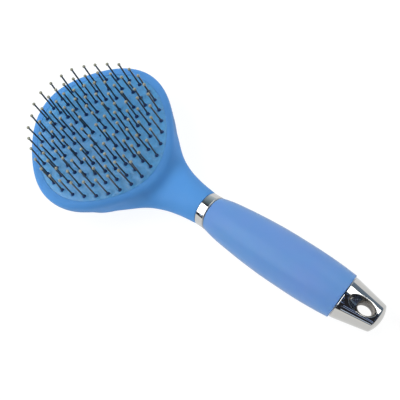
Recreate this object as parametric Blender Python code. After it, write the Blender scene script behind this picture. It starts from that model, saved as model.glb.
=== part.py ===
"""Cushioned pin brush with a gel grip, lying on its back with the pins up.

Metres, +Z up. X runs along the handle, towards the head. The origin is on the resting
surface, under the middle of the brush.
"""

import math

import bmesh
import bpy
from mathutils import Vector

# Clearance between neighbouring pieces.
GAP = 0.0003

# Handle axis: parallel to X, at this height above the resting surface.
GRIP_LARGEST_R = 0.0135
GROUND_GAP = 0.0001
AXIS_Z = GRIP_LARGEST_R + GROUND_GAP

# Head: a shallow dish, round with four soft corners, a little wider than long, with full shoulders.
TOTAL_LENGTH = 0.2210
HEAD_RADIUS = 0.0406
HEAD_CORNER = 0.00145
HEAD_SHOULDER = 0.0005
HEAD_FRONT_BIAS = 0.0006
HEAD_SIDE_BIAS = 0.0004
HEAD_FRONT = HEAD_RADIUS + HEAD_CORNER - HEAD_SHOULDER + HEAD_FRONT_BIAS - HEAD_SIDE_BIAS
HEAD_X = TOTAL_LENGTH / 2 - HEAD_FRONT
RIM_Z = 0.0249
HEAD_SEGMENTS = 56
# Head wall: a round lip down to the widest level, then a quarter ellipse in to the flat back.
LIP_INSET = 0.0030
WIDEST_DEPTH = 0.0034
BACK_INSET = 0.0280
LIP_STEPS = 3
BACK_STEPS = 7

# Neck stations: (x from the head's centre, half width, half height, height of the middle).
NECK_STATIONS = (
    (-0.0120, 0.0330, 0.0048, 0.0130),
    (-0.0200, 0.0318, 0.0052, 0.0130),
    (-0.0290, 0.0243, 0.0058, 0.0131),
    (-0.0380, 0.0172, 0.0066, 0.0132),
    (-0.0480, 0.0126, 0.0077, 0.0134),
    (-0.0570, 0.0104, 0.0085, AXIS_Z),
    (-0.0681, 0.0090, 0.0090, AXIS_Z),
)
NECK_SQUARENESS = (2.6, 2.6, 2.5, 2.35, 2.2, 2.05, 2.0)
NECK_SEGMENTS = 32

# Pad: a rubber dome set in a recess of the face. Its outline has the same four soft corners.
PAD_RADIUS = 0.0364
PAD_CORNER = 0.025
FACE_SQUASH_X = 0.985
PAD_THICKNESS = 0.0016
PAD_EDGE_DROP = 0.0004
DOME_RISE = 0.0022
PAD_RINGS = (0.45, 0.8, 1.0)
PAD_SEGMENTS = 32
VENT_RADIUS = 0.0006
VENT_SIDES = 8
LEDGE_WIDTH = 0.0014
CHAMBER_DEPTH = 0.0070

# Pins: (how many, ring radius, turn of the ring, swing of its spacing between the corners).
PIN_RINGS = (
    (4, 0.0045, -0.117, 0.0),
    (8, 0.0102, 0.0, 0.0),
    (16, 0.0158, -0.046, 0.0),
    (24, 0.02205, -0.036, 0.0),
    (28, 0.0281, -0.082, 0.046),
    (32, 0.0339, -0.026, 0.0),
)
SWING_PHASE = 2.72
# The rings are near diamonds in the middle of the pad, and near circles at its edge.
RING_CORNER = 0.14
RING_CORNER_END = 0.039
PINS_PER_ARC = 4
PIN_RADIUS = 0.0005
PIN_SIDES = 5
BALL_RADIUS = 0.00085
PIN_HEIGHT = 0.0185
STRIP_WIDTH = 0.0012
STRIP_THICKNESS = 0.0009
STRIP_DROP = 0.00045
STRIP_OVERHANG = 0.0010

# Handle pieces along X.
FERRULE_FRONT_X = HEAD_X - 0.0684
FERRULE_LENGTH = 0.0051
FERRULE_OUTER_R = 0.0092
FERRULE_BORE_R = 0.0078
TANG_NECK_R = FERRULE_BORE_R - GAP
TANG_R = 0.0065
TANG_TIP_R = 0.0045
TANG_SEGMENTS = 24
GRIP_FRONT_X = FERRULE_FRONT_X - FERRULE_LENGTH - GAP
GRIP_LENGTH = 0.0812
GRIP_END_X = GRIP_FRONT_X - GRIP_LENGTH
GRIP_SEGMENTS = 32
# Grip outline: (share of the length from its front, radius).
GRIP_OUTLINE = (
    (0.0, 0.0092),
    (0.077, 0.0105),
    (0.188, 0.0116),
    (0.324, 0.0126),
    (0.471, 0.0133),
    (0.619, GRIP_LARGEST_R),
    (0.767, 0.01345),
    (0.890, 0.0130),
    (0.994, 0.0124),
    (1.0, 0.0120),
)

# The joint between the grip and the cap is slanted, and so is the cap: above the handle axis they
# lean back by this share of the height. The grip's sections turn to the slant over its last part.
CAP_SLANT = 0.35
SLANT_START = 0.70

# End cap: a cone with a domed end, a dish above and below and a hanging hole through both.
CAP_FRONT_X = GRIP_END_X - GAP
CAP_FRONT_R = 0.0118
# The slant carries the upper edge of the domed end this far past the middle of the end.
CAP_REACH = 0.0009
CAP_END_X = CAP_REACH - TOTAL_LENGTH / 2
CAP_EDGE_X = CAP_END_X + 0.0023
CAP_EDGE_R = 0.0077
CAP_DOME_R = 0.0140
CAP_DOME_STEPS = (0.0063, 0.0050, 0.0025, 0.0)
CAP_SOCKET_DEPTH = 0.0062
CAP_SEGMENTS = 36
DISH_X = CAP_END_X + 0.01165
DISH_HALF_SIZE = (0.0085, 0.0042, 0.0048)
DISH_LIFT = 0.0005
HOLE_X = CAP_END_X + 0.00995
HOLE_HALF_LENGTH = 0.0047
HOLE_HALF_WIDTH = 0.0033
HOLE_SEGMENTS = 28


def clear_scene():
    for obj in list(bpy.data.objects):
        bpy.data.objects.remove(obj, do_unlink=True)


def make_material(name, colour, roughness, metallic=0.0):
    material = bpy.data.materials.new(name)
    material.use_nodes = True
    shader = material.node_tree.nodes["Principled BSDF"]
    shader.inputs["Base Color"].default_value = (*colour, 1.0)
    shader.inputs["Roughness"].default_value = roughness
    shader.inputs["Metallic"].default_value = metallic
    material.diffuse_color = (*colour, 1.0)
    return material


def add_object(name, bm, material=None):
    """Turns the bmesh into an object whose faces point outwards."""
    bmesh.ops.recalc_face_normals(bm, faces=bm.faces)
    mesh = bpy.data.meshes.new(name)
    bm.to_mesh(mesh)
    bm.free()
    obj = bpy.data.objects.new(name, mesh)
    bpy.context.collection.objects.link(obj)
    if material:
        mesh.materials.append(material)
    return obj


def add_helper(name, bm):
    """A cutter or a tool body, which is not a piece of the brush."""
    obj = add_object(name, bm)
    obj.hide_render = True
    obj.display_type = "WIRE"
    return obj


def combine(obj, helper, operation):
    """Applies a Boolean with the helper and removes the helper."""
    modifier = obj.modifiers.new(helper.name, "BOOLEAN")
    modifier.operation = operation
    modifier.solver = "EXACT"
    modifier.object = helper
    bpy.context.view_layer.update()
    graph = bpy.context.evaluated_depsgraph_get()
    mesh = bpy.data.meshes.new_from_object(obj.evaluated_get(graph))
    obj.modifiers.clear()
    obj.data = mesh
    bpy.data.objects.remove(helper, do_unlink=True)


def shade_round(obj, sharp_degrees):
    obj.data.shade_smooth()
    obj.data.set_sharp_from_angle(angle=math.radians(sharp_degrees))


def skin(bm, loops):
    """A closed body through a row of loops with equal counts of points."""
    rows = [[bm.verts.new(point) for point in loop] for loop in loops]
    for lower, upper in zip(rows, rows[1:]):
        count = len(lower)
        for i in range(count):
            j = (i + 1) % count
            bm.faces.new((lower[i], lower[j], upper[j], upper[i]))
    bm.faces.new(rows[0])
    bm.faces.new(rows[-1])


def turned(bm, outline, segments, closed):
    """Turns an outline of (x, radius) points about the handle axis."""
    verts = [bm.verts.new((x, 0.0, AXIS_Z + radius)) for x, radius in outline]
    pairs = list(zip(verts, verts[1:]))
    if closed:
        pairs.append((verts[-1], verts[0]))
    edges = [bm.edges.new(pair) for pair in pairs]
    bmesh.ops.spin(
        bm,
        geom=verts + edges,
        cent=(0.0, 0.0, AXIS_Z),
        axis=(1.0, 0.0, 0.0),
        angle=math.tau,
        steps=segments,
        use_merge=True,
    )
    bmesh.ops.remove_doubles(bm, verts=bm.verts, dist=1e-6)


def head_wall():
    """The wall's outline from the rim to the flat of the back: (inset, depth below the rim)."""
    wall = []
    for step in range(LIP_STEPS):
        turn = math.pi / 2 * step / LIP_STEPS
        wall.append((LIP_INSET * (1.0 - math.sin(turn)), WIDEST_DEPTH * (1.0 - math.cos(turn))))
    for step in range(BACK_STEPS + 1):
        turn = math.pi / 2 * step / BACK_STEPS
        below = (RIM_Z - WIDEST_DEPTH) * math.sin(turn)
        wall.append((BACK_INSET * (1.0 - math.cos(turn)), WIDEST_DEPTH + below))
    return wall


def head_loop(inset, z):
    loop = []
    for i in range(HEAD_SEGMENTS):
        angle = math.tau * i / HEAD_SEGMENTS
        radius = HEAD_RADIUS + HEAD_CORNER * math.cos(4.0 * angle) - inset
        radius += HEAD_FRONT_BIAS * math.cos(angle) - HEAD_SIDE_BIAS * math.cos(2.0 * angle)
        radius -= HEAD_SHOULDER * math.cos(3.0 * angle)
        loop.append((HEAD_X + radius * math.cos(angle), radius * math.sin(angle), z))
    return loop


def face_point(radius, angle, z, corner):
    """A point on the head's face. Corner is the share by which its outline bulges at the four corners."""
    wide = radius * (1.0 + corner * math.cos(4.0 * angle))
    return (HEAD_X + FACE_SQUASH_X * wide * math.cos(angle), wide * math.sin(angle), z)


def pad_loop(radius, z):
    angles = [math.tau * i / PAD_SEGMENTS for i in range(PAD_SEGMENTS)]
    return [face_point(radius, angle, z, PAD_CORNER) for angle in angles]


def dome_share(radius):
    """One at the middle of the pad, zero at its edge: the dome's height and its give."""
    return 1.0 - (radius / PAD_RADIUS) ** 2


def pad_top(radius):
    return RIM_Z - PAD_EDGE_DROP + DOME_RISE * dome_share(radius)


def neck_loop(x, half_width, half_height, z, squareness):
    """A section across the handle: an ellipse, squarer where the power is larger."""
    loop = []
    for i in range(NECK_SEGMENTS):
        angle = math.tau * i / NECK_SEGMENTS
        across = math.copysign(abs(math.cos(angle)) ** (2.0 / squareness), math.cos(angle))
        up = math.copysign(abs(math.sin(angle)) ** (2.0 / squareness), math.sin(angle))
        loop.append((x, half_width * across, z + half_height * up))
    return loop


def slant_share(x):
    """How much of the slant a section at x has: none in the front of the grip, all at its end."""
    along = (GRIP_FRONT_X - x) / GRIP_LENGTH
    part = min(1.0, max(0.0, (along - SLANT_START) / (1.0 - SLANT_START)))
    return part * part * (3.0 - 2.0 * part)


def slant(points):
    """Shifts the points along X by their height above the handle axis."""
    for point in points:
        point.co.x -= CAP_SLANT * slant_share(point.co.x) * (point.co.z - AXIS_Z)


def tang_loop(x, radius):
    loop = []
    for i in range(TANG_SEGMENTS):
        angle = math.tau * i / TANG_SEGMENTS
        loop.append((x, radius * math.cos(angle), AXIS_Z + radius * math.sin(angle)))
    return loop


def make_neck():
    bm = bmesh.new()
    loops = []
    for (x, half_width, half_height, z), squareness in zip(NECK_STATIONS, NECK_SQUARENESS):
        loops.append(neck_loop(HEAD_X + x, half_width, half_height, z, squareness))
    skin(bm, loops)
    return add_helper("neck_body", bm)


def make_tang():
    """The core that carries the ferrule, the grip and the cap."""
    neck_end = HEAD_X + NECK_STATIONS[-1][0]
    grip_start = GRIP_FRONT_X + GAP
    tip_start = CAP_FRONT_X + GAP
    tip_end = CAP_FRONT_X - CAP_SOCKET_DEPTH + 2.0 * GAP
    bm = bmesh.new()
    skin(
        bm,
        (
            tang_loop(neck_end + 0.0040, TANG_NECK_R),
            tang_loop(grip_start + GAP, TANG_NECK_R),
            tang_loop(grip_start, TANG_R),
            tang_loop(tip_start + GAP, TANG_R),
            tang_loop(tip_start, TANG_TIP_R),
            tang_loop(tip_end, TANG_TIP_R),
        ),
    )
    slant(bm.verts)
    return add_helper("tang_body", bm)


def make_recess():
    """The seat of the pad, with the air chamber below it."""
    seat_z = RIM_Z - PAD_EDGE_DROP - PAD_THICKNESS - GAP
    opening = PAD_RADIUS + GAP
    chamber = PAD_RADIUS - LEDGE_WIDTH + GAP
    bm = bmesh.new()
    skin(
        bm,
        (
            pad_loop(opening, RIM_Z + 0.0020),
            pad_loop(opening, seat_z),
            pad_loop(chamber, seat_z),
            pad_loop(chamber, RIM_Z - CHAMBER_DEPTH),
        ),
    )
    return add_helper("recess", bm)


def make_head_shell():
    bm = bmesh.new()
    skin(bm, [head_loop(inset, RIM_Z - depth) for inset, depth in head_wall()])
    head = add_object("head_shell", bm, make_material("blue_shell", (0.09, 0.31, 0.72), 0.38))
    combine(head, make_neck(), "UNION")
    combine(head, make_tang(), "UNION")
    combine(head, make_recess(), "DIFFERENCE")
    shade_round(head, 35.0)


def ring_angle(ring, pin):
    count, _, turn, swing = PIN_RINGS[ring]
    angle = -(math.tau * pin / count + turn)
    return angle + swing * math.cos(4.0 * angle + SWING_PHASE)


def ring_corner(ring):
    return RING_CORNER * (1.0 - PIN_RINGS[ring][1] / RING_CORNER_END)


def pin_foot(ring, pin):
    """The point where the pin leaves the pad."""
    radius = PIN_RINGS[ring][1]
    return Vector(face_point(radius, ring_angle(ring, pin), pad_top(radius), ring_corner(ring)))


def upright_loop(middle, z, radius, sides):
    """A level ring of points round an upright pin or hole."""
    angles = [math.tau * i / sides for i in range(sides)]
    return [(middle.x + radius * math.cos(a), middle.y + radius * math.sin(a), z) for a in angles]


def make_pad():
    """The rubber dome, with a hole for each pin and an air vent in the middle."""
    edge_top = pad_top(PAD_RADIUS)
    bm = bmesh.new()
    top = [pad_loop(share * PAD_RADIUS, pad_top(share * PAD_RADIUS)) for share in PAD_RINGS]
    bottom = [[(x, y, z - PAD_THICKNESS) for x, y, z in loop] for loop in top]
    skin(bm, top + bottom[::-1])
    pad = add_object("cushion_pad", bm, make_material("blue_rubber", (0.06, 0.28, 0.58), 0.5))
    levels = (edge_top - 2.0 * PAD_THICKNESS, edge_top + DOME_RISE + PAD_THICKNESS)
    holes = bmesh.new()
    middle = Vector((HEAD_X, 0.0, 0.0))
    skin(holes, [upright_loop(middle, z, VENT_RADIUS, VENT_SIDES) for z in levels])
    for ring, (count, *_) in enumerate(PIN_RINGS):
        for pin in range(count):
            foot = pin_foot(ring, pin)
            skin(holes, [upright_loop(foot, z, PIN_RADIUS + GAP, PIN_SIDES) for z in levels])
    combine(pad, add_helper("pin_holes", holes), "DIFFERENCE")
    shade_round(pad, 35.0)


def add_pin(bm, ring, pin, root_z):
    """A wire shaft from the strip under the pad up to its ball tip."""
    foot = pin_foot(ring, pin)
    ball_z = foot.z + PIN_HEIGHT
    outline = (
        (root_z, PIN_RADIUS),
        (ball_z - 0.9 * BALL_RADIUS, PIN_RADIUS),
        (ball_z - 0.45 * BALL_RADIUS, 0.92 * BALL_RADIUS),
        (ball_z + 0.45 * BALL_RADIUS, 0.92 * BALL_RADIUS),
        (ball_z + BALL_RADIUS, 0.4 * BALL_RADIUS),
    )
    skin(bm, [upright_loop(foot, z, radius, PIN_SIDES) for z, radius in outline])


def strip_loops(ring, first, top):
    """The curved bar that joins the feet of one arc of pins, section by section."""
    count, radius = PIN_RINGS[ring][:2]
    overhang = STRIP_OVERHANG / radius * count / math.tau
    stations = [first - overhang]
    stations += [first + 0.5 * step for step in range(2 * PINS_PER_ARC - 1)]
    stations += [first + PINS_PER_ARC - 1 + overhang]
    inner = radius - STRIP_WIDTH / 2
    outer = radius + STRIP_WIDTH / 2
    low = top - STRIP_THICKNESS
    loops = []
    for station in stations:
        angle = ring_angle(ring, station)
        corners = ((inner, low), (outer, low), (outer, top), (inner, top))
        loops.append([face_point(r, angle, z, ring_corner(ring)) for r, z in corners])
    return loops


def make_pin_arc(ring, arc, material):
    radius = PIN_RINGS[ring][1]
    top = pad_top(radius) - PAD_THICKNESS - STRIP_DROP
    first = arc * PINS_PER_ARC
    strip = bmesh.new()
    skin(strip, strip_loops(ring, first, top))
    obj = add_object(f"pins_ring{ring + 1}_arc{arc + 1}", strip, material)
    pins = bmesh.new()
    for pin in range(first, first + PINS_PER_ARC):
        add_pin(pins, ring, pin, top - STRIP_THICKNESS / 2)
    combine(obj, add_helper("arc_pins", pins), "UNION")
    shade_round(obj, 50.0)


def make_pins():
    steel = make_material("pin_steel", (0.13, 0.13, 0.14), 0.35, 0.9)
    for ring, (count, *_) in enumerate(PIN_RINGS):
        for arc in range(count // PINS_PER_ARC):
            make_pin_arc(ring, arc, steel)


def make_ferrule():
    back = FERRULE_FRONT_X - FERRULE_LENGTH
    bevel = 0.0003
    outline = (
        (FERRULE_FRONT_X, FERRULE_BORE_R),
        (FERRULE_FRONT_X, FERRULE_OUTER_R - bevel),
        (FERRULE_FRONT_X - bevel, FERRULE_OUTER_R),
        (back + bevel, FERRULE_OUTER_R),
        (back, FERRULE_OUTER_R - bevel),
        (back, FERRULE_BORE_R),
    )
    bm = bmesh.new()
    turned(bm, outline, GRIP_SEGMENTS, closed=True)
    chrome = make_material("ferrule_chrome", (0.78, 0.78, 0.79), 0.08, 1.0)
    shade_round(add_object("ferrule", bm, chrome), 40.0)


def make_grip_sleeve():
    bore = TANG_R + GAP
    outline = [(GRIP_FRONT_X - share * GRIP_LENGTH, radius) for share, radius in GRIP_OUTLINE]
    outline += [(GRIP_END_X, bore), (GRIP_FRONT_X, bore)]
    bm = bmesh.new()
    turned(bm, outline, GRIP_SEGMENTS, closed=True)
    slant(bm.verts)
    gel = make_material("grip_gel", (0.12, 0.28, 0.66), 0.45)
    shade_round(add_object("grip_sleeve", bm, gel), 40.0)


def make_dishes():
    """The two shallow ellipsoids that hollow the cap around its hole."""
    slope = (CAP_FRONT_R - CAP_EDGE_R) / (CAP_FRONT_X - CAP_EDGE_X)
    surface = CAP_EDGE_R + slope * (DISH_X - CAP_EDGE_X)
    bm = bmesh.new()
    for side in (-1.0, 1.0):
        ball = bmesh.ops.create_uvsphere(bm, u_segments=24, v_segments=12, radius=1.0)
        bmesh.ops.scale(bm, verts=ball["verts"], vec=DISH_HALF_SIZE)
        place = (DISH_X, 0.0, AXIS_Z + side * (surface + DISH_LIFT))
        bmesh.ops.translate(bm, verts=ball["verts"], vec=place)
    return add_helper("dishes", bm)


def make_hanging_hole():
    bm = bmesh.new()
    loops = []
    for z in (AXIS_Z - 2.0 * CAP_FRONT_R, AXIS_Z + 2.0 * CAP_FRONT_R):
        loop = []
        for i in range(HOLE_SEGMENTS):
            angle = math.tau * i / HOLE_SEGMENTS
            x = HOLE_X + HOLE_HALF_LENGTH * math.cos(angle)
            loop.append((x, HOLE_HALF_WIDTH * math.sin(angle), z))
        loops.append(loop)
    skin(bm, loops)
    return add_helper("hanging_hole", bm)


def make_end_cap():
    socket_r = TANG_TIP_R + GAP
    socket_x = CAP_FRONT_X - CAP_SOCKET_DEPTH
    outline = [
        (socket_x, 0.0),
        (socket_x, socket_r),
        (CAP_FRONT_X, socket_r),
        (CAP_FRONT_X, CAP_FRONT_R),
        (CAP_EDGE_X, CAP_EDGE_R),
    ]
    outline += [(CAP_END_X + r * r / (2.0 * CAP_DOME_R), r) for r in CAP_DOME_STEPS]
    bm = bmesh.new()
    turned(bm, outline, CAP_SEGMENTS, closed=False)
    chrome = make_material("cap_chrome", (0.8, 0.8, 0.81), 0.06, 1.0)
    cap = add_object("end_cap", bm, chrome)
    combine(cap, make_dishes(), "DIFFERENCE")
    combine(cap, make_hanging_hole(), "DIFFERENCE")
    slant(cap.data.vertices)
    shade_round(cap, 30.0)


def main():
    clear_scene()
    make_head_shell()
    make_pad()
    make_pins()
    make_ferrule()
    make_grip_sleeve()
    make_end_cap()


main()
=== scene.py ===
import math
import random

import bmesh
import bpy
import numpy as np
from mathutils import Matrix, Vector


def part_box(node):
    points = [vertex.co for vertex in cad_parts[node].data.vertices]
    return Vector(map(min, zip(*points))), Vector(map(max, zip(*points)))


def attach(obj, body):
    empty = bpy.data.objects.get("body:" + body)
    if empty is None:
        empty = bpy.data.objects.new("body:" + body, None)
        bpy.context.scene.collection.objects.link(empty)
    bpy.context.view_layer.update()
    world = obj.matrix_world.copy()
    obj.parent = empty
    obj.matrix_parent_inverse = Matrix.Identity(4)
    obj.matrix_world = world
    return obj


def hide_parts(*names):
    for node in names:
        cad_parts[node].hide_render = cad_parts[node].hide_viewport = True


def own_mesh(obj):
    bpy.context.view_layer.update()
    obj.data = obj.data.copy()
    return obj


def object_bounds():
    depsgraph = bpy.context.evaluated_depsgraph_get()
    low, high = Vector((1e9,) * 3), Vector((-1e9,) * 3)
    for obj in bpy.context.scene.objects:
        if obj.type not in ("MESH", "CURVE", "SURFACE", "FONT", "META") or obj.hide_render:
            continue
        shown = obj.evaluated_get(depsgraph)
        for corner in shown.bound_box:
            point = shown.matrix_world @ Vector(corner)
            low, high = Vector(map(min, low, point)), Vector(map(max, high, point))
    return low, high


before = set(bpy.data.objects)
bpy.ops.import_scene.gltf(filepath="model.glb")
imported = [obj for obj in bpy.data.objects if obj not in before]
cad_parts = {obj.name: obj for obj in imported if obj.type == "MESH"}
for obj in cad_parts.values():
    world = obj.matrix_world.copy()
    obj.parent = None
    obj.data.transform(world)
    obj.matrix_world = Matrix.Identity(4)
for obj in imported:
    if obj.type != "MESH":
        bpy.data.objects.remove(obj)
cad_low, cad_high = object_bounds()

FRAME_BODY = "brush_frame"
SEED = 20

# All lengths are in metres. Places read from the frame.
PAD_LOW, PAD_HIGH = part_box("cushion_pad")
_, SHELL_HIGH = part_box("head_shell")
FERRULE_LOW, FERRULE_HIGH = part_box("ferrule")
GRIP_LOW, GRIP_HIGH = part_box("grip_sleeve")
HEAD_X = (PAD_LOW.x + PAD_HIGH.x) / 2
AXIS_Z = (GRIP_LOW.z + GRIP_HIGH.z) / 2
RIM_Z = SHELL_HIGH.z
GRIP_FRONT_X = GRIP_HIGH.x
# Room between fixed pieces, as in the frame, and the pad's smaller room in its seat.
GAP = 0.0003
FIT_GAP = 0.00004

# Mesh tools: the step for slopes, the most that one round moves a point, the last rounds that
# only settle it, and guards against dividing by nothing.
SLOPE_STEP = 1e-6
LARGEST_MOVE = 0.0008
SETTLING_ROUNDS = 2
MERGE_DISTANCE = 1e-6
DIVISION_GUARD = 1e-6
MOVE_GUARD = 1e-12

# Head dish and neck: as in the frame, but for a slimmer root of the neck and a squarer lip. The
# neck's sections are in order from the ferrule, with X from the middle of the head.
HEAD_RADIUS = 0.0406
HEAD_CORNER = 0.00145
HEAD_SHOULDER = 0.0005
HEAD_FRONT_BIAS = 0.0006
HEAD_SIDE_BIAS = 0.0004
LIP_INSET = 0.0030
LIP_POWER = 2.15
WIDEST_DEPTH = 0.0034
WIDEST_Z = RIM_Z - WIDEST_DEPTH
BACK_INSET = 0.0280
NECK_X = np.array((-0.0681, -0.0570, -0.0480, -0.0380, -0.0290, -0.0200, -0.0120))
NECK_HALF_WIDTH = np.array((0.0090, 0.0104, 0.0126, 0.0172, 0.0240, 0.0311, 0.0324))
NECK_HALF_HEIGHT = np.array((0.0090, 0.0085, 0.0077, 0.0066, 0.0058, 0.0052, 0.0048))
NECK_Z = np.array((AXIS_Z, AXIS_Z, 0.0134, 0.0132, 0.0131, 0.0130, 0.0130))
NECK_POWER = np.array((2.0, 2.05, 2.2, 2.35, 2.5, 2.6, 2.6))
NECK_FILLET_ABOVE = 0.0075
NECK_FILLET_SIDES = 0.0035
FILLET_CHANGE_Y = 0.014
FILLET_CHANGE_WIDTH = 0.012
NECK_EDGE = 0.0006
SHELL_VOXEL = 0.00055
SHELL_ROUNDS = 8
ROUGH_STEPS = 8
ROUGH_HEAD_SEGMENTS = 128
ROUGH_NECK_SEGMENTS = 96
TANG_OVERLAP = 0.0040
TANG_SEGMENTS = 64

# Pad and pins: as in the frame, but for thinner wires, a smaller vent and a pad nearly flush
# with the rim.
PAD_RADIUS = 0.0364
PAD_CORNER = 0.025
FACE_SQUASH_X = 0.985
PAD_THICKNESS = 0.0016
PAD_EDGE_DROP = 0.0004
VISIBLE_EDGE_DROP = 0.00005
DOME_RISE = 0.0022
LEDGE_WIDTH = 0.0014
CHAMBER_DEPTH = 0.0070
VENT_RADIUS = 0.0003
RECESS_SEGMENTS = 256
RECESS_EDGE = 0.00012
RECESS_EDGE_TURNS = (25, 45, 65, 90)
RECESS_FLARE_OUT = 0.0030
RECESS_FLARE_UP = 0.0012
PAD_SEGMENTS = 384
PAD_TOP_STEPS = 100
# The rounded edges of the pad's top, at the vent and at the rim: (distance from the edge, rise).
VENT_LIP = ((0.0, -0.0004), (0.0001, -0.0001), (0.0002, 0.00004))
VENT_LIP_WIDTH = 0.0004
PAD_LIP = ((0.00004, -0.00003), (0.0, -0.00012))
PAD_LIP_WIDTH = 0.00012
PAD_BOTTOM_INSET = 0.004
PAD_BOTTOM_SHARES = (0.6, 0.3)
# Pins: (how many, ring radius, turn of the ring, swing of its spacing between the corners).
PIN_RINGS = (
    (4, 0.0045, -0.117, 0.0),
    (8, 0.0102, 0.0, 0.0),
    (16, 0.0158, -0.046, 0.0),
    (24, 0.02205, -0.036, 0.0),
    (28, 0.0281, -0.082, 0.046),
    (32, 0.0339, -0.026, 0.0),
)
SWING_PHASE = 2.72
RING_CORNER = 0.14
RING_CORNER_END = 0.039
PINS_PER_ARC = 4
PIN_RADIUS = 0.00045
BALL_RADIUS = 0.00085
# From the pad to the middle of the ball.
PIN_HEIGHT = 0.0185
PIN_SIDES = 16
# The most that a pin leans along X and along Y, as a slope.
PIN_LEAN = 0.028
WIRE_STEPS = 5
WIRE_TOP_MARGIN = 0.0012
BALL_STEPS = 9
BALL_NECK_WIDENING = 1.1
BALL_NECK_DROP = 0.0001
BALL_TOP_TURN = 0.12
COLLAR_RADIUS = 0.00105
COLLAR_HEIGHT = 0.0017
COLLAR_SINK = 0.0001
COLLAR_STEPS = 7
COLLAR_POWER = 1.3
HEAD_DISC_RADIUS = 0.0011
HEAD_DISC_THICKNESS = 0.0005
# The material slots of a pin.
WIRE, COLLAR, TIP = 0, 1, 2
# The low ring of rubber round each pin.
PUCKER_RADIUS = 0.0016
PUCKER_WIDTH = 0.0005
PUCKER_HEIGHT = 0.00024

# Handle pieces. From SLANT_START on, the sections of the grip turn to the slant of the end cap.
HANDLE_SEGMENTS = 160
FERRULE_WALL = 0.0014
FERRULE_FRONT_EDGE = 0.00015
FERRULE_BACK_EDGE = 0.0007
# The plating turns from dull to bright between these distances from the back edge.
FERRULE_DULL_SPAN = (0.0005, 0.0008)
TANG_R = 0.0065
TANG_TIP_R = 0.0045
CAP_SOCKET_DEPTH = 0.0062
GRIP_LENGTH = 0.0812
GRIP_END_X = GRIP_FRONT_X - GRIP_LENGTH
GRIP_ROWS = 79
GRIP_FRONT_EDGE = 0.0002
GRIP_END_EDGE = 0.0004
# (share of the grip's length from its front, radius)
GRIP_OUTLINE = (
    (0.0, 0.0092),
    (0.077, 0.0105),
    (0.188, 0.0116),
    (0.324, 0.0126),
    (0.471, 0.0133),
    (0.619, 0.0135),
    (0.767, 0.01345),
    (0.890, 0.0130),
    (1.0, 0.0123),
)
CAP_SLANT = 0.35
SLANT_START = 0.70
CAP_FRONT_X = GRIP_END_X - GAP
CAP_END_X = HEAD_X - 0.17835
CAP_FRONT_R = 0.0118
CAP_EDGE_R = 0.0077
CAP_EDGE_X = CAP_END_X + 0.0023
# The domed end: half its length along the axis, and its radius.
CAP_END_HALF_SIZE = (0.0098, 0.0117)
CAP_END_BLEND = 0.0005
CAP_FRONT_BLEND = 0.0004
CAP_VOXEL = 0.00024
CAP_ROUNDS = 10
DISH_X = CAP_END_X + 0.01165
DISH_HALF_SIZE = np.array((0.0085, 0.0041, 0.0046))
DISH_LIFT = 0.0005
DISH_BLEND = 0.0004
HOLE_X = CAP_END_X + 0.00995
HOLE_HALF_SIZE = np.array((0.0043, 0.0030))
HOLE_BLEND = 0.0014
# How far the painted shade on the wall of the hole reaches.
BORE_HALF_SIZE = (0.0047, 0.0034)


# ---------------------------------------------------------------- mesh tools


def smooth_through(xs, ys, x):
    """A smooth curve through the points (xs, ys), read at x, level past its ends."""
    slopes = np.gradient(ys, xs)
    x = np.clip(x, xs[0], xs[-1])
    i = np.clip(np.searchsorted(xs, x) - 1, 0, len(xs) - 2)
    step = xs[i + 1] - xs[i]
    t = (x - xs[i]) / step
    start = (1 + 2 * t) * (1 - t) ** 2 * ys[i] + t * (1 - t) ** 2 * slopes[i] * step
    return start + t * t * (3 - 2 * t) * ys[i + 1] + t * t * (t - 1) * slopes[i + 1] * step


def add_object(name, bm, *materials):
    bmesh.ops.recalc_face_normals(bm, faces=bm.faces)
    mesh = bpy.data.meshes.new(name)
    bm.to_mesh(mesh)
    bm.free()
    obj = bpy.data.objects.new(name, mesh)
    bpy.context.collection.objects.link(obj)
    for material in materials:
        mesh.materials.append(material)
    return obj


def shade_round(obj, sharp_degrees):
    obj.data.shade_smooth()
    obj.data.set_sharp_from_angle(angle=math.radians(sharp_degrees))


def take_modifiers(obj):
    """Turns what the object's modifiers give into its own mesh."""
    bpy.context.view_layer.update()
    graph = bpy.context.evaluated_depsgraph_get()
    mesh = bpy.data.meshes.new_from_object(obj.evaluated_get(graph))
    obj.modifiers.clear()
    obj.data = mesh


def combine(obj, helper, operation):
    modifier = obj.modifiers.new(helper.name, "BOOLEAN")
    modifier.operation = operation
    modifier.solver = "EXACT"
    modifier.object = helper
    take_modifiers(obj)
    bpy.data.objects.remove(helper, do_unlink=True)


def add_rows(bm, loops):
    return [[bm.verts.new(point) for point in loop] for loop in loops]


def add_band(bm, lower, upper):
    """The faces between two rows with equal counts of points."""
    band = []
    for i in range(len(lower)):
        j = (i + 1) % len(lower)
        band.append(bm.faces.new((lower[i], lower[j], upper[j], upper[i])))
    return band


def skin(bm, loops):
    """A closed body through loops with equal counts of points. It returns its faces row by row."""
    rows = add_rows(bm, loops)
    bands = [add_band(bm, lower, upper) for lower, upper in zip(rows, rows[1:])]
    bm.faces.new(rows[0])
    bm.faces.new(rows[-1])
    return bands


def closed_ring(name, loops, material):
    """A ring-shaped body through loops, the last of them joined to the first."""
    bm = bmesh.new()
    rows = add_rows(bm, loops)
    for lower, upper in zip(rows, rows[1:] + rows[:1]):
        add_band(bm, lower, upper)
    return add_object(name, bm, material)


def slant_share(x):
    """How much of the slant a section at x has: none in the front of the grip, all at its end."""
    along = (GRIP_FRONT_X - x) / GRIP_LENGTH
    part = min(1.0, max(0.0, (along - SLANT_START) / (1 - SLANT_START)))
    return part * part * (3 - 2 * part)


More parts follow.
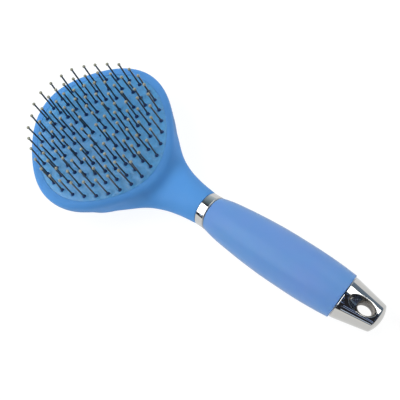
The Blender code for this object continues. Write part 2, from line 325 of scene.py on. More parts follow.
def turned_loops(outline, segments):
    """Loops about the handle's axis through an outline of (x, radius), slanted near the cap."""
    loops = []
    for x, radius in outline:
        lean = CAP_SLANT * slant_share(x)
        loop = []
        for i in range(segments):
            angle = math.tau * i / segments
            up = radius * math.sin(angle)
            loop.append((x - lean * up, radius * math.cos(angle), AXIS_Z + up))
        loops.append(loop)
    return loops


def arc(middle, radius, start, end, steps):
    """Points (x, r) on an arc from one angle to another, in degrees."""
    points = []
    for i in range(steps + 1):
        angle = math.radians(start + (end - start) * i / steps)
        along = middle[0] + radius * math.cos(angle)
        points.append((along, middle[1] + radius * math.sin(angle)))
    return points


def remesh(obj, size):
    modifier = obj.modifiers.new("remesh", "REMESH")
    modifier.mode = "VOXEL"
    modifier.voxel_size = size
    take_modifiers(obj)


def write_points(mesh, points):
    mesh.vertices.foreach_set("co", points.astype(np.float32).ravel())
    mesh.update()


def read_points(mesh):
    points = np.empty(len(mesh.vertices) * 3, np.float32)
    mesh.vertices.foreach_get("co", points)
    return points.reshape(-1, 3).astype(np.float64)


def pull_onto(obj, surface, rounds):
    """Evens out the points and brings them onto the surface where the given function is zero."""
    mesh = obj.data
    points = read_points(mesh)
    edges = np.empty(len(mesh.edges) * 2, np.int32)
    mesh.edges.foreach_get("vertices", edges)
    a, b = edges.reshape(-1, 2).T
    neighbours = np.bincount(a, minlength=len(points)) + np.bincount(b, minlength=len(points))
    for round_number in range(rounds):
        total = np.zeros_like(points)
        np.add.at(total, a, points[b])
        np.add.at(total, b, points[a])
        if round_number < rounds - SETTLING_ROUNDS:
            points = 0.5 * points + 0.5 * total / neighbours[:, None]
        points = onto_surface(points, surface)
    write_points(mesh, points)


def onto_surface(points, surface):
    """One step of each point along the function's slope, to where the function should be zero."""
    value = surface(points)
    gradient = np.empty_like(points)
    for axis in range(3):
        shift = np.zeros(3)
        shift[axis] = SLOPE_STEP
        change = surface(points + shift) - surface(points - shift)
        gradient[:, axis] = change / (2 * SLOPE_STEP)
    steepness = np.maximum((gradient**2).sum(1), DIVISION_GUARD)
    move = (value / steepness)[:, None] * gradient
    size = np.linalg.norm(move, axis=1, keepdims=True)
    return points - move * np.minimum(1.0, LARGEST_MOVE / np.maximum(size, MOVE_GUARD))


def blended_min(a, b, width):
    """The smaller of two distances, rounded where they are less than the width apart."""
    share = np.maximum(width - np.abs(a - b), 0) / width
    return np.minimum(a, b) - share**2 * width / 4


def blended_max(a, b, width):
    return -blended_min(-a, -b, width)


def oval_distance(offsets, half_sizes, power=2.0):
    """About how far points are outside an oval, which is squarer where the power is larger.

    offsets has the points' distances from its middle along each axis, and half_sizes its extent.
    """
    shares = [np.abs(o / h) for o, h in zip(offsets, half_sizes)]
    reach = np.maximum(sum(s**power for s in shares) ** (1 / power), DIVISION_GUARD)
    slopes = [(s / reach) ** (power - 1) / h for s, h in zip(shares, half_sizes)]
    return (reach - 1) / np.maximum(np.sqrt(sum(s**2 for s in slopes)), DIVISION_GUARD)


# ---------------------------------------------------------------- head shell


def head_outline(angle):
    """How far the head reaches from its middle where it is widest."""
    outline = HEAD_RADIUS + HEAD_CORNER * np.cos(4 * angle) - HEAD_SHOULDER * np.cos(3 * angle)
    return outline + (HEAD_FRONT_BIAS * np.cos(angle) - HEAD_SIDE_BIAS * np.cos(2 * angle))


def dish_distance(x, y, z):
    """The dish's side is a quarter of an oval below its widest section and a squarer one above."""
    below = WIDEST_Z - z
    inset = np.where(below > 0, BACK_INSET, LIP_INSET)
    depth = np.where(below > 0, WIDEST_Z, WIDEST_DEPTH)
    out = np.maximum(np.hypot(x, y) - head_outline(np.arctan2(y, x)) + inset, 0)
    return oval_distance((out, below), (inset, depth), np.where(below > 0, 2.0, LIP_POWER))


def neck_distance(x, y, z):
    half_width = smooth_through(NECK_X, NECK_HALF_WIDTH, x)
    half_height = smooth_through(NECK_X, NECK_HALF_HEIGHT, x)
    middle = smooth_through(NECK_X, NECK_Z, x)
    power = smooth_through(NECK_X, NECK_POWER, x)
    side = oval_distance((y, z - middle), (half_width, half_height), power)
    return np.maximum(side, x - NECK_X[-1])


def shell_surface(points):
    """The dish and the neck with a fillet where they meet: the distance outside them, in metres."""
    x = points[:, 0] - HEAD_X
    y, z = points[:, 1], points[:, 2]
    across = np.clip((np.abs(y) - FILLET_CHANGE_Y) / FILLET_CHANGE_WIDTH, 0, 1)
    fillet = NECK_FILLET_ABOVE + (NECK_FILLET_SIDES - NECK_FILLET_ABOVE) * across
    both = blended_min(dish_distance(x, y, z), neck_distance(x, y, z), fillet)
    return blended_max(both, NECK_X[0] - x, NECK_EDGE)


def head_loop(inset, z, count):
    loop = []
    for i in range(count):
        angle = math.tau * i / count
        radius = head_outline(angle) - inset
        loop.append((HEAD_X + radius * math.cos(angle), radius * math.sin(angle), z))
    return loop


def neck_loop(i, count):
    """The outline of one section of the neck, a squared oval."""
    loop = []
    for step in range(count):
        angle = math.tau * step / count
        power = 2 / NECK_POWER[i]
        across = math.copysign(abs(math.cos(angle)) ** power, math.cos(angle))
        up = math.copysign(abs(math.sin(angle)) ** power, math.sin(angle))
        y = NECK_HALF_WIDTH[i] * across
        loop.append((HEAD_X + NECK_X[i], y, NECK_Z[i] + NECK_HALF_HEIGHT[i] * up))
    return loop


def rough_shell():
    """The dish and the neck as two plain overlapping bodies, for the remesh to join."""
    bm = bmesh.new()
    turns = [math.pi / 2 * i / ROUGH_STEPS for i in range(ROUGH_STEPS + 1)]
    lip = [
        (LIP_INSET * (1 - math.sin(turn)), RIM_Z - WIDEST_DEPTH * (1 - math.cos(turn)))
        for turn in turns
    ]
    back = [(BACK_INSET * (1 - math.cos(turn)), WIDEST_Z * (1 - math.sin(turn))) for turn in turns]
    skin(bm, [head_loop(inset, z, ROUGH_HEAD_SEGMENTS) for inset, z in lip + back[1:]])
    skin(bm, [neck_loop(i, ROUGH_NECK_SEGMENTS) for i in range(len(NECK_X))])
    return bm


def face_point(radius, angle, z, corner):
    """A point of the face on a ring about its middle, pushed out at four corners."""
    wide = radius * (1 + corner * math.cos(4 * angle))
    return Vector((HEAD_X + FACE_SQUASH_X * wide * math.cos(angle), wide * math.sin(angle), z))


def pad_loop(radius, z, count):
    return [face_point(radius, math.tau * i / count, z, PAD_CORNER) for i in range(count)]


def recess_cutter():
    """The pad's seat and the air chamber, with a rounded edge at the rim."""
    seat = RIM_Z - PAD_EDGE_DROP - PAD_THICKNESS - GAP
    opening = PAD_RADIUS + GAP
    chamber = PAD_RADIUS - LEDGE_WIDTH + GAP
    outline = [(opening + RECESS_FLARE_OUT, RIM_Z + RECESS_FLARE_UP)]
    for degrees in RECESS_EDGE_TURNS:
        turn = math.radians(degrees)
        out = opening + RECESS_EDGE * (1 - math.sin(turn))
        outline.append((out, RIM_Z - RECESS_EDGE * (1 - math.cos(turn))))
    outline += [(opening, seat), (chamber, seat), (chamber, RIM_Z - CHAMBER_DEPTH)]
    bm = bmesh.new()
    skin(bm, [pad_loop(radius, z, RECESS_SEGMENTS) for radius, z in outline])
    return add_object("recess_cutter", bm)


def tang():
    """The core inside the ferrule, the grip and the end cap."""
    neck_r = FERRULE_HIGH.z - AXIS_Z - FERRULE_WALL - GAP
    start = HEAD_X + NECK_X[0] + TANG_OVERLAP
    step = GRIP_FRONT_X + GAP
    tip = CAP_FRONT_X + GAP
    end = CAP_FRONT_X - CAP_SOCKET_DEPTH + 2 * GAP
    outline = (
        (start, neck_r),
        (step + GAP, neck_r),
        (step, TANG_R),
        (tip + GAP, TANG_R),
        (tip, TANG_TIP_R),
        (end, TANG_TIP_R),
    )
    bm = bmesh.new()
    skin(bm, turned_loops(outline, TANG_SEGMENTS))
    return add_object("tang", bm)


def make_shell():
    shell = add_object("head_shell_body", rough_shell())
    remesh(shell, SHELL_VOXEL)
    pull_onto(shell, shell_surface, SHELL_ROUNDS)
    combine(shell, tang(), "UNION")
    combine(shell, recess_cutter(), "DIFFERENCE")
    shell.data.materials.clear()
    shell.data.materials.append(satin_plastic())
    shade_round(shell, sharp_degrees=32)
    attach(shell, FRAME_BODY)
    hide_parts("head_shell")


# ---------------------------------------------------------------- pad and pins


def pad_top(radius):
    """The height of the frame's dome, at which the pins stand."""
    return RIM_Z - PAD_EDGE_DROP + DOME_RISE * (1 - (radius / PAD_RADIUS) ** 2)


def cushion_top(radius):
    """The height of the visible dome, which meets the rim almost flush at its edge."""
    edge_rise = PAD_EDGE_DROP - VISIBLE_EDGE_DROP
    return pad_top(radius) + edge_rise * (min(radius, PAD_RADIUS) / PAD_RADIUS) ** 4


def ring_angle(ring, pin):
    count, _, turn, swing = PIN_RINGS[ring]
    angle = -(math.tau * pin / count + turn)
    return angle + swing * math.cos(4 * angle + SWING_PHASE)


def pin_foot(ring, pin):
    radius = PIN_RINGS[ring][1]
    corner = RING_CORNER * (1 - radius / RING_CORNER_END)
    return face_point(radius, ring_angle(ring, pin), pad_top(radius), corner)


def all_feet():
    return [
        pin_foot(ring, pin)
        for ring, (count, *_) in enumerate(PIN_RINGS)
        for pin in range(count)
    ]


def pucker(points):
    """How far the rubber stands up round each pin, as a low ring with a dip at the pin."""
    feet = np.array([foot[:2] for foot in all_feet()])
    rise = np.zeros(len(points))
    for foot in feet:
        away = np.hypot(*(points[:, :2] - foot).T)
        rise += PUCKER_HEIGHT * np.exp(-(((away - PUCKER_RADIUS) / PUCKER_WIDTH) ** 2))
        rise -= PUCKER_HEIGHT * np.exp(-((away / PUCKER_WIDTH) ** 2))
    return rise


def make_pad():
    """The rubber dome, rounded at its edge and round the vent, with a low ring at each pin."""
    edge = PAD_RADIUS + GAP - FIT_GAP
    first, last = VENT_RADIUS + VENT_LIP_WIDTH, edge - PAD_LIP_WIDTH
    top = [(VENT_RADIUS + out, rise) for out, rise in VENT_LIP]
    for i in range(PAD_TOP_STEPS + 1):
        top.append((first + (last - first) * i / PAD_TOP_STEPS, 0.0))
    top += [(edge - inset, rise) for inset, rise in PAD_LIP]
    bottom = [edge, edge - PAD_BOTTOM_INSET]
    bottom += [share * edge for share in PAD_BOTTOM_SHARES] + [VENT_RADIUS]
    loops = [pad_loop(radius, cushion_top(radius) + rise, PAD_SEGMENTS) for radius, rise in top]
    loops += [pad_loop(radius, pad_top(radius) - PAD_THICKNESS, PAD_SEGMENTS) for radius in bottom]
    pad = closed_ring("rubber_cushion", loops, cushion_rubber())
    points = read_points(pad.data)
    upper_count = len(top) * PAD_SEGMENTS
    points[:upper_count, 2] += pucker(points[:upper_count])
    write_points(pad.data, points)
    shade_round(pad, sharp_degrees=40)
    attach(pad, FRAME_BODY)
    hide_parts("cushion_pad")
    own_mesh(pad)


def pin_outline():
    """(height above the pad, radius, material) from a pin's hidden head to the top of its ball."""
    low = -PAD_THICKNESS
    rows = [
        (low - HEAD_DISC_THICKNESS, HEAD_DISC_RADIUS, WIRE),
        (low, HEAD_DISC_RADIUS, WIRE),
        (low, PIN_RADIUS, WIRE),
        (-COLLAR_SINK, PIN_RADIUS, COLLAR),
        (-COLLAR_SINK, COLLAR_RADIUS, COLLAR),
    ]
    for i in range(1, COLLAR_STEPS + 1):
        share = i / COLLAR_STEPS
        flare = math.cos(share * math.pi / 2) ** COLLAR_POWER
        radius = PIN_RADIUS + (COLLAR_RADIUS - PIN_RADIUS) * flare
        rows.append((COLLAR_HEIGHT * share, radius, COLLAR if i < COLLAR_STEPS else WIRE))
    wire = PIN_HEIGHT - COLLAR_HEIGHT - WIRE_TOP_MARGIN
    for i in range(1, WIRE_STEPS):
        rows.append((COLLAR_HEIGHT + wire * i / WIRE_STEPS, PIN_RADIUS, WIRE))
    first = math.asin(PIN_RADIUS * BALL_NECK_WIDENING / BALL_RADIUS)
    neck = PIN_HEIGHT - BALL_RADIUS * math.cos(first) - BALL_NECK_DROP
    rows.append((neck, PIN_RADIUS, TIP))
    for i in range(BALL_STEPS + 1):
        turn = first + (math.pi - first - BALL_TOP_TURN) * i / BALL_STEPS
        height = PIN_HEIGHT - BALL_RADIUS * math.cos(turn)
        rows.append((height, BALL_RADIUS * math.sin(turn), TIP))
    return rows


def pin_loops(foot, lean, rows):
    """The pin's loops, which shift with height by a small lean along X and along Y."""
    loops = []
    for height, radius, _ in rows:
        shift = max(height, 0.0)
        x, y = foot.x + lean[0] * shift, foot.y + lean[1] * shift
        middle = Vector((x, y, foot.z + height))
        loop = []
        for i in range(PIN_SIDES):
            angle = math.tau * i / PIN_SIDES
            loop.append(middle + Vector((radius * math.cos(angle), radius * math.sin(angle), 0.0)))
        loops.append(loop)
    return loops


def make_pin_arc(ring, arc_number, draw, materials):
    """The four pins that stand for one node of the frame."""
    rows = pin_outline()
    bm = bmesh.new()
    for pin in range(arc_number * PINS_PER_ARC, (arc_number + 1) * PINS_PER_ARC):
        lean = (draw.uniform(-PIN_LEAN, PIN_LEAN), draw.uniform(-PIN_LEAN, PIN_LEAN))
        bands = skin(bm, pin_loops(pin_foot(ring, pin), lean, rows))
        for band, (_, _, slot) in zip(bands, rows):
            for face in band:
                face.material_index = slot
    for face in bm.faces:
        if len(face.verts) > 4:
            high = face.calc_center_median().z > RIM_Z + PIN_HEIGHT / 2
            face.material_index = TIP if high else WIRE
    node = f"pins_ring{ring + 1}_arc{arc_number + 1}"
    obj = add_object(f"wire_{node}", bm, *materials)
    shade_round(obj, sharp_degrees=50)
    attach(obj, f"pin_ring_{ring + 1}")
    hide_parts(node)


def make_pins():
    draw = random.Random(SEED)
    materials = (pin_wire(), pin_collar_and_shade(), pin_tip())
    for ring, (count, *_) in enumerate(PIN_RINGS):
        for arc_number in range(count // PINS_PER_ARC):
            make_pin_arc(ring, arc_number, draw, materials)


# ---------------------------------------------------------------- handle pieces


def make_ferrule():
    """A plain band with a crisp front edge and a rolled back edge."""
    front, back = FERRULE_HIGH.x, FERRULE_LOW.x
    outer = FERRULE_HIGH.z - AXIS_Z
    bore = outer - FERRULE_WALL
    crisp, rolled = FERRULE_FRONT_EDGE, FERRULE_BACK_EDGE
    outline = [(front, bore)]
    outline += arc((front - crisp, outer - crisp), crisp, 0, 90, steps=4)
    outline += arc((back + rolled, outer - rolled), rolled, 90, 180, steps=10)
    outline.append((back, bore))
    loops = turned_loops(outline, HANDLE_SEGMENTS)
    ferrule = closed_ring("ferrule_band", loops, ferrule_chrome())
    shade_round(ferrule, sharp_degrees=50)
    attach(ferrule, FRAME_BODY)
    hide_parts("ferrule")


def grip_radius(share):
    xs, ys = np.array(GRIP_OUTLINE).T
    return float(smooth_through(xs, ys, np.array([share]))[0])


def make_grip():
    """The gel sleeve, with rounded edges. Its back edge stands in for the last half row."""
    bore = TANG_R + GAP
    steps = GRIP_ROWS + 0.5
    edge = GRIP_FRONT_EDGE
    outline = [(GRIP_FRONT_X, bore)]
    outline += arc((GRIP_FRONT_X - edge, grip_radius(0.0) - edge), edge, 0, 80, steps=4)
    for i in range(1, GRIP_ROWS + 1):
        outline.append((GRIP_FRONT_X - GRIP_LENGTH * i / steps, grip_radius(i / steps)))
    edge = GRIP_END_EDGE
    outline += arc((GRIP_END_X + edge, grip_radius(1.0) - edge), edge, 100, 180, steps=6)
    outline.append((GRIP_END_X, bore))
    grip = closed_ring("gel_grip", turned_loops(outline, HANDLE_SEGMENTS), grip_gel())
    shade_round(grip, sharp_degrees=50)
    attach(grip, FRAME_BODY)
    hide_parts("grip_sleeve")


def cap_surface(points):
    """The cap: a cone with a domed end, a dish above and below, the hanging hole and the socket."""
    y, z = points[:, 1], points[:, 2] - AXIS_Z
    x = points[:, 0] + CAP_SLANT * z
    reach = np.hypot(y, z)
    slope = (CAP_FRONT_R - CAP_EDGE_R) / (CAP_FRONT_X - CAP_EDGE_X)
    side = (reach - CAP_EDGE_R - slope * (x - CAP_EDGE_X)) / math.hypot(1, slope)
    into_end = np.minimum(x - CAP_END_X - CAP_END_HALF_SIZE[0], 0)
    end = oval_distance((into_end, reach), CAP_END_HALF_SIZE)
    body = blended_max(side, end, CAP_END_BLEND)
    body = blended_max(body, x - CAP_FRONT_X, CAP_FRONT_BLEND)
    lift = CAP_EDGE_R + slope * (DISH_X - CAP_EDGE_X) + DISH_LIFT
    dish = oval_distance((x - DISH_X, y, np.abs(z) - lift), DISH_HALF_SIZE)
    body = blended_max(body, -dish, DISH_BLEND)
    hole = oval_distance((x - HOLE_X, y), HOLE_HALF_SIZE)
    body = blended_max(body, -hole, HOLE_BLEND)
    socket = np.maximum(reach - TANG_TIP_R - GAP, CAP_FRONT_X - CAP_SOCKET_DEPTH - x)
    return np.maximum(body, -socket)


def make_cap():
    """The cap, from a copy of the frame's solid, which gives the remesh its rough shape."""
    bm = bmesh.new()
    bm.from_mesh(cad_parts["end_cap"].data)
    bmesh.ops.remove_doubles(bm, verts=bm.verts, dist=MERGE_DISTANCE)
    cap = add_object("chrome_end_cap", bm)
    remesh(cap, CAP_VOXEL)
    pull_onto(cap, cap_surface, CAP_ROUNDS)
    cap.data.materials.clear()
    cap.data.materials.append(cap_chrome())
    shade_round(cap, sharp_degrees=60)
    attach(cap, FRAME_BODY)
    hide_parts("end_cap")


# ---------------------------------------------------------------- materials

# The sockets of a Mix node that mixes colours.
MIX_SHARE, MIX_FIRST, MIX_SECOND, MIX_RESULT = 0, 6, 7, 2
# A noise node's values lie mostly between these.
NOISE_SPAN = (0.3, 0.7)
PLATING_SPAN = (0.45, 0.8)


class Painter:
    """Short ways to add nodes to the tree of a material or of the world."""

    def __init__(self, tree, coordinate):
        self.tree = tree
        self.place = tree.nodes.new("ShaderNodeTexCoord").outputs[coordinate]

    def link(self, output, node, socket):
        self.tree.links.new(output, node.inputs[socket])

    def feed(self, socket, value):
        """Gives a socket a number or a colour, or another node's output."""
        if isinstance(value, (int, float)):
            socket.default_value = value
        elif isinstance(value, tuple):
            socket.default_value = (*value, 1.0)
        else:
            self.tree.links.new(value, socket)

    def axes(self):
        """The place along X, Y and Z."""
        node = self.tree.nodes.new("ShaderNodeSeparateXYZ")
        self.link(self.place, node, "Vector")
        return node.outputs

    def noise(self, scale, detail, stretch=(1, 1, 1)):
        mapping = self.tree.nodes.new("ShaderNodeMapping")
        mapping.inputs["Scale"].default_value = stretch
        self.link(self.place, mapping, "Vector")
        node = self.tree.nodes.new("ShaderNodeTexNoise")
        node.inputs["Scale"].default_value = scale
        node.inputs["Detail"].default_value = detail
        self.link(mapping.outputs["Vector"], node, "Vector")
        return node.outputs["Fac"]

    def maths(self, operation, *values):
        node = self.tree.nodes.new("ShaderNodeMath")
        node.operation = operation
        for socket, value in zip(node.inputs, values):
            self.feed(socket, value)
        return node.outputs[0]

    def ramp(self, value, colours, span=NOISE_SPAN):
        """Turns a value over the span into one between two colours."""
        node = self.tree.nodes.new("ShaderNodeValToRGB")
        for element, colour, position in zip(node.color_ramp.elements, colours, span):
            element.position = position
            element.color = (*colour, 1.0)
        self.link(value, node, "Fac")
        return node.outputs["Color"]

    def mix(self, share, first, second):
        node = self.tree.nodes.new("ShaderNodeMix")
        node.data_type = "RGBA"
        self.link(share, node, MIX_SHARE)
        self.feed(node.inputs[MIX_FIRST], first)
        self.feed(node.inputs[MIX_SECOND], second)
        return node.outputs[MIX_RESULT]

    def range(self, value, span, ends):
        """Turns a value over the span into one between two numbers."""
        node = self.tree.nodes.new("ShaderNodeMapRange")
        names = ("From Min", "From Max", "To Min", "To Max")
        for name, number in zip(names, (*span, *ends)):
            node.inputs[name].default_value = number
        self.link(value, node, "Value")
        return node.outputs["Result"]


class Finish(Painter):
    """A material under construction: its shader, and the ways to change it by place."""

    def __init__(self, name, colour, roughness, metallic=0.0, **constants):
        self.material = bpy.data.materials.new(name)
        self.material.use_nodes = True
        self.material.diffuse_color = (*colour, 1.0)
        super().__init__(self.material.node_tree, "Object")
        self.shader = self.tree.nodes["Principled BSDF"]
        self.colour = colour
        self.set("Base Color", (*colour, 1.0))
        self.set("Roughness", roughness)
        self.set("Metallic", metallic)
        for socket, value in constants.items():
            self.set(socket.replace("_", " "), value)

    def set(self, socket, value):
        self.shader.inputs[socket].default_value = value

    def plug(self, socket, output):
        self.link(output, self.shader, socket)

    def source_of(self, socket):
        return self.shader.inputs[socket].links[0].from_socket

    def roughen(self, value, low, high, span=NOISE_SPAN):
        self.plug("Roughness", self.range(value, span, (low, high)))

    def bump(self, height, strength, distance, before=None):
        node = self.tree.nodes.new("ShaderNodeBump")
        node.inputs["Strength"].default_value = strength
        node.inputs["Distance"].default_value = distance
        self.link(height, node, "Height")
        if before:
            self.link(before, node, "Normal")
        return node.outputs["Normal"]

    def edge_shade(self, low, high, share):
        """The mask of painted shade at the edges: zero where the surface faces the viewer and up to
        the share where it turns away.
        """
        node = self.tree.nodes.new("ShaderNodeLayerWeight")
        node.inputs["Blend"].default_value = 0.5
        return self.range(node.outputs["Facing"], (low, high), (0.0, share))

    def lightened_edges(self, colour, low, high, share):
        """Lightens the mesh's convex edges towards a paler copy of the colour."""
        pointed = self.tree.nodes.new("ShaderNodeNewGeometry").outputs["Pointiness"]
        paler = tuple(min(1.0, c * 1.5 + 0.05) for c in self.colour)
        return self.mix(self.range(pointed, (low, high), (0.0, share)), colour, paler)


def shades(colour, dark, light):
    """The colour at two brightnesses."""
    return tuple(c * dark for c in colour), tuple(c * light for c in colour)


def satin_plastic():
    colour, painted_edge_shade = (0.084, 0.292, 0.670), (0.055, 0.160, 0.320)
    finish = Finish("satin_blue_plastic", colour, 0.6, Specular_IOR_Level=0.2)
    finish.set("Subsurface Weight", 0.08)
    finish.set("Subsurface Radius", (0.002, 0.004, 0.008))
    finish.set("Subsurface Scale", 0.4)
    mottle = finish.ramp(finish.noise(45, detail=2), shades(colour, 0.95, 1.05))
    # Lighter towards the shell's convex edges.
    paler = finish.lightened_edges(mottle, 0.52, 0.62, share=0.5)
    edge_shade = finish.edge_shade(0.70, 1.0, share=0.8)
    # Painted shade: the base colour darkens towards the edges that turn away from the viewer.
    finish.plug("Base Color", finish.mix(edge_shade, paler, painted_edge_shade))
    finish.roughen(finish.noise(160, detail=4), 0.55, 0.65)
    grain = finish.bump(finish.noise(2600, detail=2), strength=0.10, distance=0.00004)
    waves = finish.bump(finish.noise(240, detail=2), strength=0.06, distance=0.0001, before=grain)
    finish.plug("Normal", waves)
    return finish.material


def cushion_rubber():
    colour, patches = (0.060, 0.295, 0.595), (0.075, 0.27, 0.62)
    finish = Finish("blue_cushion_rubber", colour, 0.45, Specular_IOR_Level=0.5)
    fine = finish.ramp(finish.noise(700, detail=4), shades(colour, 0.88, 1.12))
    broad = finish.range(finish.noise(55, detail=2), (0.35, 0.65), (0, 0.35))
    finish.plug("Base Color", finish.mix(broad, fine, patches))
    finish.roughen(finish.noise(300, detail=3), 0.36, 0.55)
    grain = finish.bump(finish.noise(1500, detail=3), strength=0.15, distance=0.00006)
    finish.plug("Normal", grain)
    finish.set("Coat Weight", 0.10)
    finish.set("Coat Roughness", 0.14)
    return finish.material


def pin_wire():
    colour = (0.095, 0.098, 0.098)
    finish = Finish("dark_pin_wire", colour, 0.45, 0.85)
    streaks = finish.noise(900, detail=3, stretch=(1, 1, 0.12))
    finish.plug("Base Color", finish.ramp(streaks, shades(colour, 0.7, 1.5)))
    finish.roughen(streaks, 0.38, 0.55)
    finish.plug("Normal", finish.bump(streaks, strength=0.12, distance=0.00003))
    return finish.material


def pin_collar_and_shade():
    # The collar is modelled, and its dark navy also paints the shade at each pin's foot.
    colour = (0.014, 0.036, 0.130)
    finish = Finish("navy_collar_and_painted_shade", colour, 0.40)
    spread = finish.noise(1200, detail=3)
    finish.plug("Base Color", finish.ramp(spread, shades(colour, 0.8, 1.4)))
    finish.roughen(spread, 0.32, 0.5)
    return finish.material


def pin_tip():
    colour = (0.31, 0.31, 0.235)
    finish = Finish("beige_pin_tip", colour, 0.35, Specular_IOR_Level=0.5)
    spread = finish.noise(1300, detail=3)
    finish.plug("Base Color", finish.ramp(spread, shades(colour, 0.75, 1.2)))
    finish.roughen(spread, 0.28, 0.45)
    finish.plug("Normal", finish.bump(spread, strength=0.1, distance=0.00003))
    return finish.material


def chrome(name, colour, low, high, stretch):
    """Bright plating, with faint handling marks that take its roughness from low to high."""
    finish = Finish(name, colour, low, 1.0)
    marks = finish.noise(900, detail=4, stretch=stretch)
    cloud = finish.noise(120, detail=3)
    finish.plug("Base Color", finish.ramp(cloud, shades(colour, 0.97, 1.0)))
    finish.roughen(marks, low, high, span=PLATING_SPAN)
    finish.plug("Normal", finish.bump(marks, strength=0.02, distance=0.00001))
    return finish


def ferrule_chrome():
    """Chrome, dull along the rolled back edge."""
    finish = chrome("ferrule_chrome_plate", (0.52, 0.52, 0.51), 0.04, 0.10, (0.2, 1, 1))
    x, _, _ = finish.axes()
    edge = tuple(FERRULE_LOW.x + inset for inset in FERRULE_DULL_SPAN)
    dull = finish.range(x, edge, (0.55, 0.0))
    finish.plug("Roughness", finish.maths("MAXIMUM", finish.source_of("Roughness"), dull))
    return finish.material


def cap_chrome():
    """Chrome, with painted shade on the wall of the hanging hole: a dull taupe there instead of
    metal.
    """
    plated, hole_shade = (0.50, 0.495, 0.48), (0.30, 0.275, 0.245)
    finish = chrome("cap_chrome_plate", plated, 0.015, 0.05, (1, 0.4, 0.4))
    x, y, z = finish.axes()
    half_length, half_width = BORE_HALF_SIZE
    middle = HOLE_X + CAP_SLANT * AXIS_Z
    upright = finish.maths("MULTIPLY_ADD", z, CAP_SLANT, x)
    along = finish.maths("MULTIPLY_ADD", upright, 1 / half_length, -middle / half_length)
    across = finish.maths("MULTIPLY", y, 1 / half_width)
    squares = [finish.maths("POWER", share, 2.0) for share in (along, across)]
    bore = finish.range(finish.maths("ADD", *squares), (0.9, 1.15), (1.0, 0.0))
    dull = finish.range(bore, (0.0, 1.0), (0.0, 0.5))
    # Painted shade: the wall of the hole is coloured a dim taupe.
    finish.plug("Base Color", finish.mix(bore, plated, hole_shade))
    finish.plug("Roughness", finish.maths("MAXIMUM", finish.source_of("Roughness"), dull))
    finish.plug("Metallic", finish.range(bore, (0.0, 1.0), (1.0, 0.0)))
    return finish.material


def grip_gel():
    colour, painted_edge_shade = (0.150, 0.305, 0.640), (0.130, 0.215, 0.360)
    tones = (0.112, 0.296, 0.620), (0.142, 0.286, 0.640)
    finish = Finish("violet_blue_gel", colour, 0.55, Specular_IOR_Level=0.3)
    finish.set("Subsurface Weight", 0.35)
    finish.set("Subsurface Radius", (0.6, 0.8, 1.0))
    finish.set("Subsurface Scale", 0.003)
    finish.set("Sheen Weight", 0.25)
    finish.set("Sheen Roughness", 0.35)
    finish.set("Sheen Tint", (0.75, 0.72, 0.72, 1.0))
    finish.set("Coat Weight", 0.10)
    finish.set("Coat Roughness", 0.30)
    mottle = finish.ramp(finish.noise(38, detail=3), tones)
    edge_shade = finish.edge_shade(0.55, 1.0, share=0.8)
    # Painted shade: the base colour darkens and greys towards the edges that turn away from the
    # viewer.
    finish.plug("Base Color", finish.mix(edge_shade, mottle, painted_edge_shade))
    finish.roughen(finish.noise(220, detail=3), 0.50, 0.62)
    dust = finish.bump(finish.noise(2200, detail=2), strength=0.06, distance=0.00004)
    waves = finish.bump(finish.noise(90, detail=2), strength=0.08, distance=0.0002, before=dust)
    finish.plug("Normal", waves)
    return finish.material


def floor_paper():
    """Pale paper with a glow of its own, so that it stays white in the picture."""
    finish = Finish("white_sweep", (0.18, 0.18, 0.18), 0.8, Specular_IOR_Level=0.0)
    tones = (0.17, 0.17, 0.17), (0.19, 0.19, 0.19)
    finish.plug("Base Color", finish.ramp(finish.noise(3, detail=2), tones))
    finish.set("Emission Color", (1.0, 1.0, 1.0, 1.0))
    finish.set("Emission Strength", 0.90)
    return finish.material


# ---------------------------------------------------------------- studio

BLACK, WHITE = (0.0, 0.0, 0.0), (1.0, 1.0, 1.0)
FLOOR_HALF_SIZE = 3.0
FLOOR_CELLS = 8

# The studio's colours by direction, each from the low end of its span to the high end.
WALL_LOW = ((0.24, 0.31, 0.40), (0.72, 0.82, 0.88))
WALL_HIGH = ((0.13, 0.19, 0.26), (0.20, 0.27, 0.31))
WALL_SPAN_X = (0.20, 0.40)
WALL_SPAN_Z = (0.1, 0.75)
WALL_SPAN_Y = (0.15, 0.45)
CEILING_DARK = ((0.035, 0.035, 0.04), (0.03, 0.03, 0.035))
CEILING_GLOW = ((0.9, 1.05, 1.3), (0.35, 0.55, 1.2))
CEILING_SPAN_Z = (0.3, 0.9)
GLOW_SPAN = (0.61, 0.64)
GLOW_SCALE = 8.0
GLOW_DETAIL = 4.0
BAND = ((1.15, 1.15, 1.12), (1.0, 1.0, 0.98))
BAND_SPAN_Z = (0.14, 0.22)
BAND_DROP_AT_WALL = 0.2

# Soft boxes: name, direction from the brush, distance, size along and across it, power, tint.
LIGHTS = (
    ("main_box", (0.46, 0.38, 0.81), 1.3, (0.65, 1.35), 14.3, (1.0, 1.0, 1.0)),
    ("side_box", (0.05, -0.65, 0.77), 1.3, (0.55, 0.88), 7.0, (1.0, 0.98, 0.93)),
)

CAMERA_PLACE = (-0.33620, 0.1138, 0.7003)
CAMERA_BACK = (-0.44143, 0.14929, 0.88479)
CAMERA_UP = (0.48495, -0.78995, 0.37523)
CAMERA_LENS = 136.86
CAMERA_SENSOR = 36.0


def make_floor():
    bm = bmesh.new()
    cells = {"x_segments": FLOOR_CELLS, "y_segments": FLOOR_CELLS}
    bmesh.ops.create_grid(bm, size=FLOOR_HALF_SIZE, **cells)
    floor = add_object("floor", bm, floor_paper())
    floor.location.z = cad_low.z


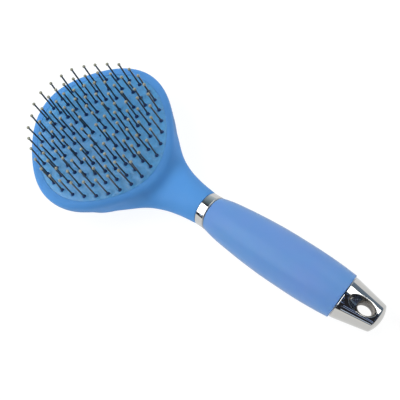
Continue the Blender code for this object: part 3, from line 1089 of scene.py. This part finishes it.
def make_world():
    """A bright low band under a dark ceiling, and on one side a slate wall down to the floor."""
    world = bpy.data.worlds.new("studio")
    bpy.context.scene.world = world
    world.use_nodes = True
    room = Painter(world.node_tree, "Generated")
    x, y, z = room.axes()
    low_wall = room.ramp(x, WALL_LOW, WALL_SPAN_X)
    high_wall = room.ramp(x, WALL_HIGH, WALL_SPAN_X)
    wall = room.mix(room.ramp(z, (BLACK, WHITE), WALL_SPAN_Z), low_wall, high_wall)
    at_wall = room.ramp(room.maths("MULTIPLY", y, -1.0), (BLACK, WHITE), WALL_SPAN_Y)
    dark = room.ramp(z, CEILING_DARK, CEILING_SPAN_Z)
    glow = room.ramp(z, CEILING_GLOW, CEILING_SPAN_Z)
    patches = room.ramp(room.noise(GLOW_SCALE, GLOW_DETAIL), (BLACK, WHITE), GLOW_SPAN)
    upper = room.mix(at_wall, room.mix(patches, dark, glow), wall)
    height = room.maths("MULTIPLY_ADD", at_wall, BAND_DROP_AT_WALL, z)
    low = room.ramp(height, (WHITE, BLACK), BAND_SPAN_Z)
    bright = room.ramp(z, BAND, (0.0, 1.0))
    background = room.tree.nodes["Background"]
    room.link(room.mix(low, upper, bright), background, "Color")
    background.inputs["Strength"].default_value = 1.0


def add_light(name, direction, distance, size, power, tint):
    """A flat soft box facing the middle of the brush, its first side level along the handle."""
    data = bpy.data.lights.new(name, "AREA")
    data.shape = "RECTANGLE"
    data.size, data.size_y = size
    data.energy = power
    data.color = tint
    obj = bpy.data.objects.new(name, data)
    bpy.context.collection.objects.link(obj)
    back = Vector(direction).normalized()
    along = (Vector((1.0, 0.0, 0.0)) - back * back.x).normalized()
    obj.location = back * distance
    obj.rotation_euler = Matrix((along, back.cross(along), back)).transposed().to_euler()


def make_camera():
    data = bpy.data.cameras.new("camera")
    data.lens = CAMERA_LENS
    data.sensor_width = CAMERA_SENSOR
    camera = bpy.data.objects.new("camera", data)
    bpy.context.collection.objects.link(camera)
    back, up = Vector(CAMERA_BACK), Vector(CAMERA_UP)
    camera.location = CAMERA_PLACE
    camera.rotation_mode = "QUATERNION"
    camera.rotation_quaternion = Matrix((up.cross(back), up, back)).transposed().to_quaternion()
    bpy.context.scene.camera = camera


def main():
    bpy.context.scene.view_settings.view_transform = "Standard"
    make_shell()
    make_pad()
    make_pins()
    make_ferrule()
    make_grip()
    make_cap()
    make_floor()
    make_world()
    for light in LIGHTS:
        add_light(*light)
    make_camera()


main()
